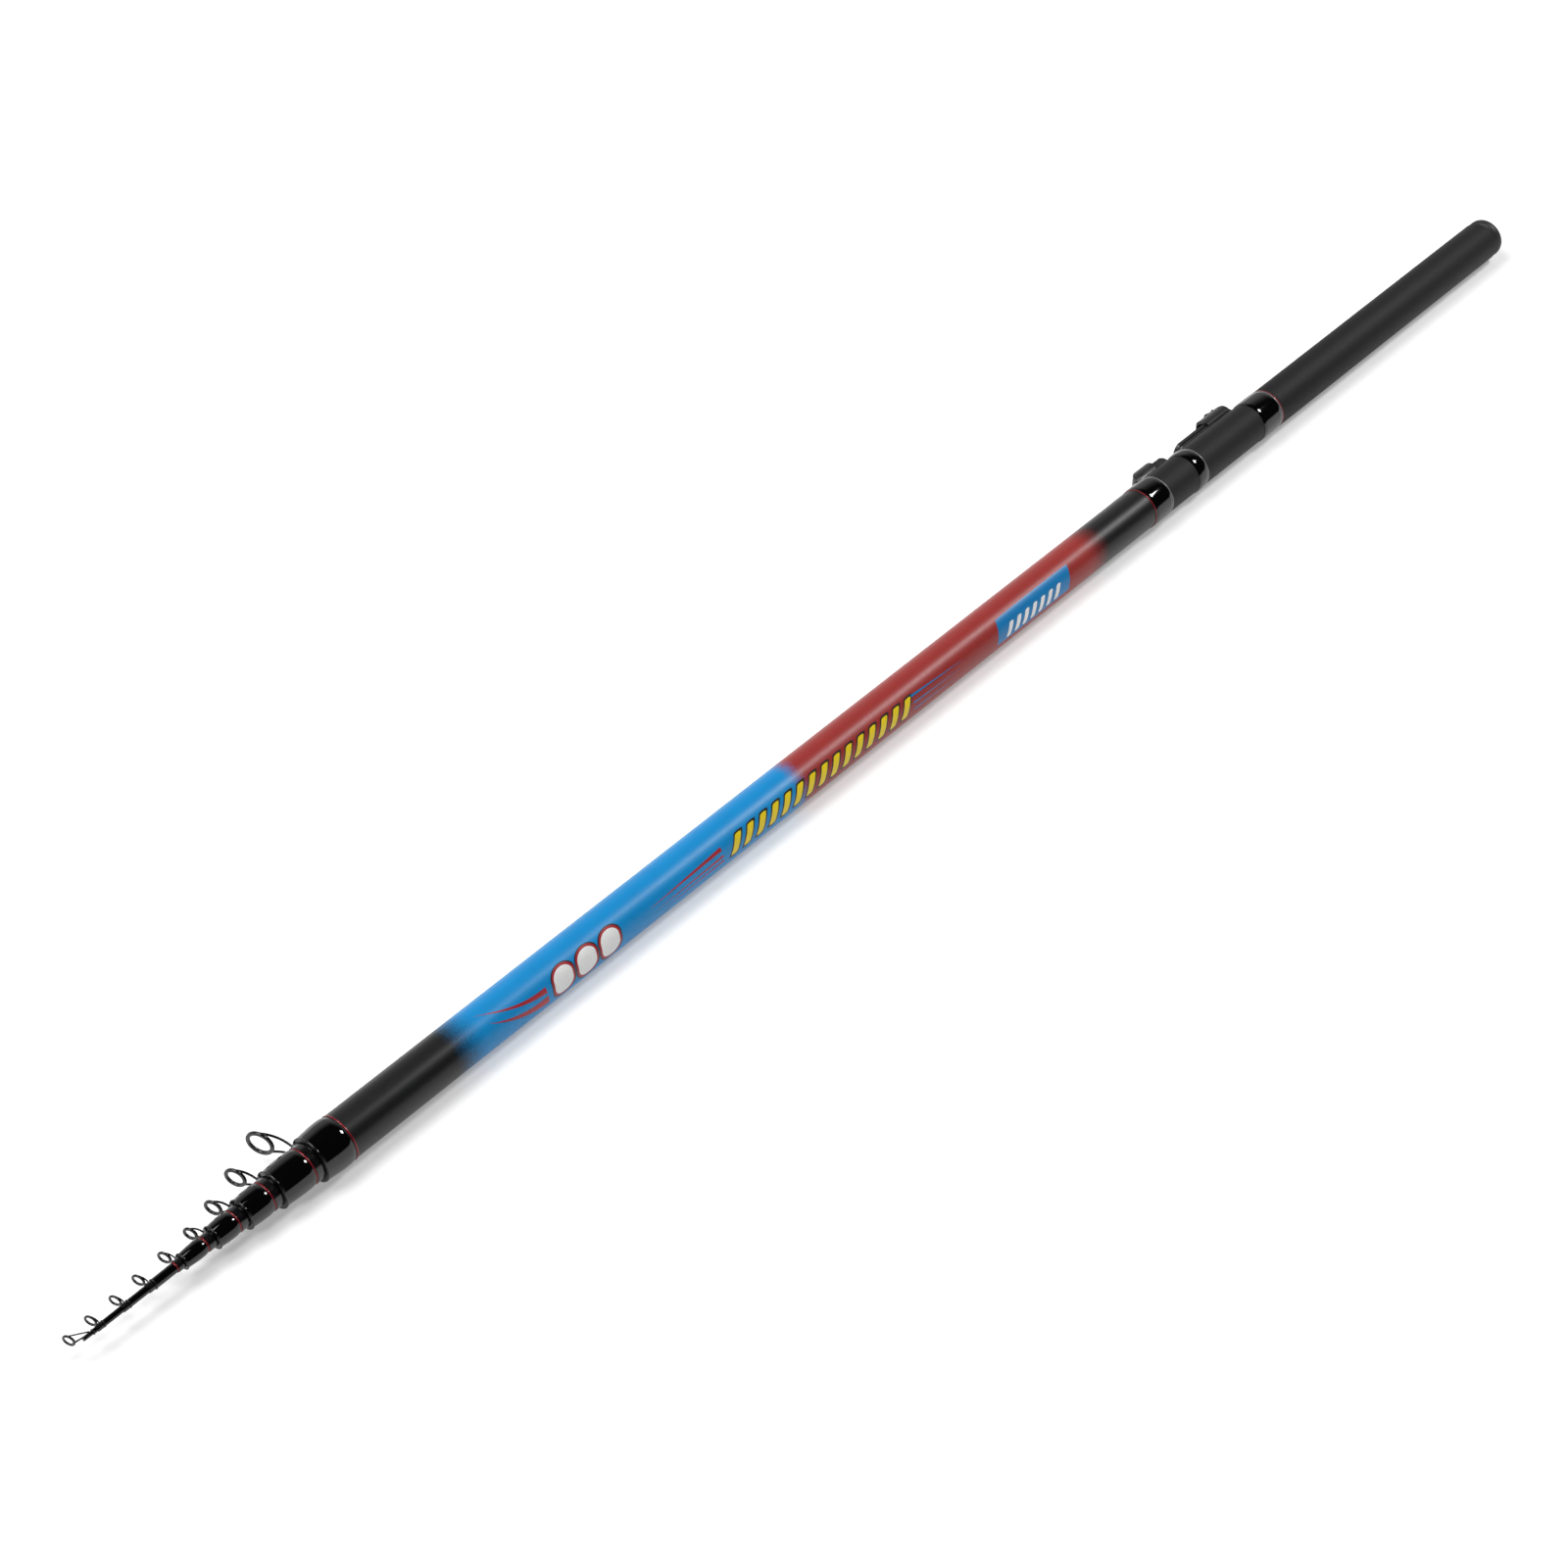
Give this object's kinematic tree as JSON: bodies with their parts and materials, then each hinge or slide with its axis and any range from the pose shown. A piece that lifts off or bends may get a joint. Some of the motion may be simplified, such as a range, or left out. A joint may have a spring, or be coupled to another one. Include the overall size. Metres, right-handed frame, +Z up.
{
  "type": "telescopic fishing rod",
  "caption": "Closed telescopic float rod with nested tubes that slide out, leaning line guides, slip guides on the tip and a plate reel seat with a sliding hood.",
  "frame": {"origin": "on the rod's axis, in the middle of the bare handle behind the reel seat", "axes": "+X along the rod towards the butt cap, -X towards the tip, +Y to the guides and the reel seat, +Z up"},
  "size_m": [1.2143, 0.0481, 0.0276],
  "materials": {
    "butt_paint": "satin paint over carbon fibre",
    "blank": "polished carbon fibre",
    "lacquer": "gloss lacquer over thread",
    "red_thread": "lacquered metallic thread",
    "silver_thread": "lacquered metallic thread",
    "seat_metal": "black coated steel",
    "slider_plastic": "moulded, slightly grained",
    "pin_steel": "plain",
    "cap_plastic": "moulded",
    "seal_rubber": "plain",
    "pad_foam": "foam",
    "guide_metal": "black coated steel wire",
    "ring_ceramic": "polished dark ceramic"
  },
  "bodies": {
    "butt": {"butt_tube": "butt_paint", "butt_whipping": "lacquer", "butt_thread_ring": "red_thread", "seat_whipping_rear": "lacquer", "seat_whipping_middle": "lacquer", "seat_whipping_front": "lacquer", "seat_silver_rings": "silver_thread", "seat_red_rings": "red_thread", "seat_rail": "seat_metal", "seat_front_hood": "seat_metal"},
    "cap": {"end_cap": "cap_plastic", "cap_seals": "seal_rubber", "cap_pad": "pad_foam"},
    "slider": {"sliding_hood": "slider_plastic", "lever_pin": "pin_steel"},
    "lever": {"lock_lever": "slider_plastic"},
    "section_2": {"section_2_tube": "blank", "section_2_whipping": "lacquer", "section_2_thread_ring": "red_thread", "guide_1_frame": "guide_metal", "guide_1_ring": "ring_ceramic"},
    "section_3": {"section_3_tube": "blank", "section_3_whipping": "lacquer", "section_3_thread_ring": "red_thread", "guide_2_frame": "guide_metal", "guide_2_ring": "ring_ceramic"},
    "section_4": {"section_4_tube": "blank", "section_4_whipping": "lacquer", "section_4_thread_ring": "red_thread", "guide_3_frame": "guide_metal", "guide_3_ring": "ring_ceramic"},
    "section_5": {"section_5_tube": "blank", "section_5_whipping": "lacquer", "section_5_thread_ring": "red_thread", "guide_4_frame": "guide_metal", "guide_4_ring": "ring_ceramic"},
    "tip": {"tip_tube": "blank", "tip_top_frame": "guide_metal", "tip_top_ring": "ring_ceramic"},
    "slip_5": {"slip_sleeve_5": "lacquer", "guide_5_frame": "guide_metal", "guide_5_ring": "ring_ceramic", "sleeve_5_thread_ring": "red_thread"},
    "slip_6": {"slip_sleeve_6": "lacquer", "guide_6_frame": "guide_metal", "guide_6_ring": "ring_ceramic"},
    "slip_7": {"slip_sleeve_7": "lacquer", "guide_7_frame": "guide_metal", "guide_7_ring": "ring_ceramic"},
    "slip_8": {"slip_sleeve_8": "lacquer", "guide_8_frame": "guide_metal", "guide_8_ring": "ring_ceramic"}
  },
  "joints": [
    {"name": "cap_pull", "type": "slide", "parent": "butt", "child": "cap", "axis": [1, 0, 0], "range_m": [0, 0.04]},
    {"name": "reel_hood_slide", "type": "slide", "parent": "butt", "child": "slider", "axis": [-1, 0, 0], "range_m": [0, 0.024]},
    {"name": "lock_lever_flip", "type": "hinge", "parent": "slider", "child": "lever", "pos_m": [-0.15095, 0.0193, 0], "axis": [0, 0, -1], "range_deg": [0, 75]},
    {"name": "section_2_slide", "type": "slide", "parent": "butt", "child": "section_2", "axis": [-1, 0, 0], "range_m": [0, 0.96]},
    {"name": "section_3_slide", "type": "slide", "parent": "section_2", "child": "section_3", "axis": [-1, 0, 0], "range_m": [0, 0.965]},
    {"name": "section_4_slide", "type": "slide", "parent": "section_3", "child": "section_4", "axis": [-1, 0, 0], "range_m": [0, 0.9665]},
    {"name": "section_5_slide", "type": "slide", "parent": "section_4", "child": "section_5", "axis": [-1, 0, 0], "range_m": [0, 0.966]},
    {"name": "tip_slide", "type": "slide", "parent": "section_5", "child": "tip", "axis": [-1, 0, 0], "range_m": [0, 0.9253]},
    {"name": "slip_5_slide", "type": "slide", "parent": "tip", "child": "slip_5", "axis": [1, 0, 0], "range_m": [0, 0.74024]},
    {"name": "slip_6_slide", "type": "slide", "parent": "tip", "child": "slip_6", "axis": [1, 0, 0], "range_m": [0, 0.55518]},
    {"name": "slip_7_slide", "type": "slide", "parent": "tip", "child": "slip_7", "axis": [1, 0, 0], "range_m": [0, 0.37012]},
    {"name": "slip_8_slide", "type": "slide", "parent": "tip", "child": "slip_8", "axis": [1, 0, 0], "range_m": [0, 0.18506]}
  ],
  "couplings": [
    {"joint": "slip_5_slide", "follows": "tip_slide", "ratio": 0.8},
    {"joint": "slip_6_slide", "follows": "tip_slide", "ratio": 0.6},
    {"joint": "slip_7_slide", "follows": "tip_slide", "ratio": 0.4},
    {"joint": "slip_8_slide", "follows": "tip_slide", "ratio": 0.2}
  ]
}
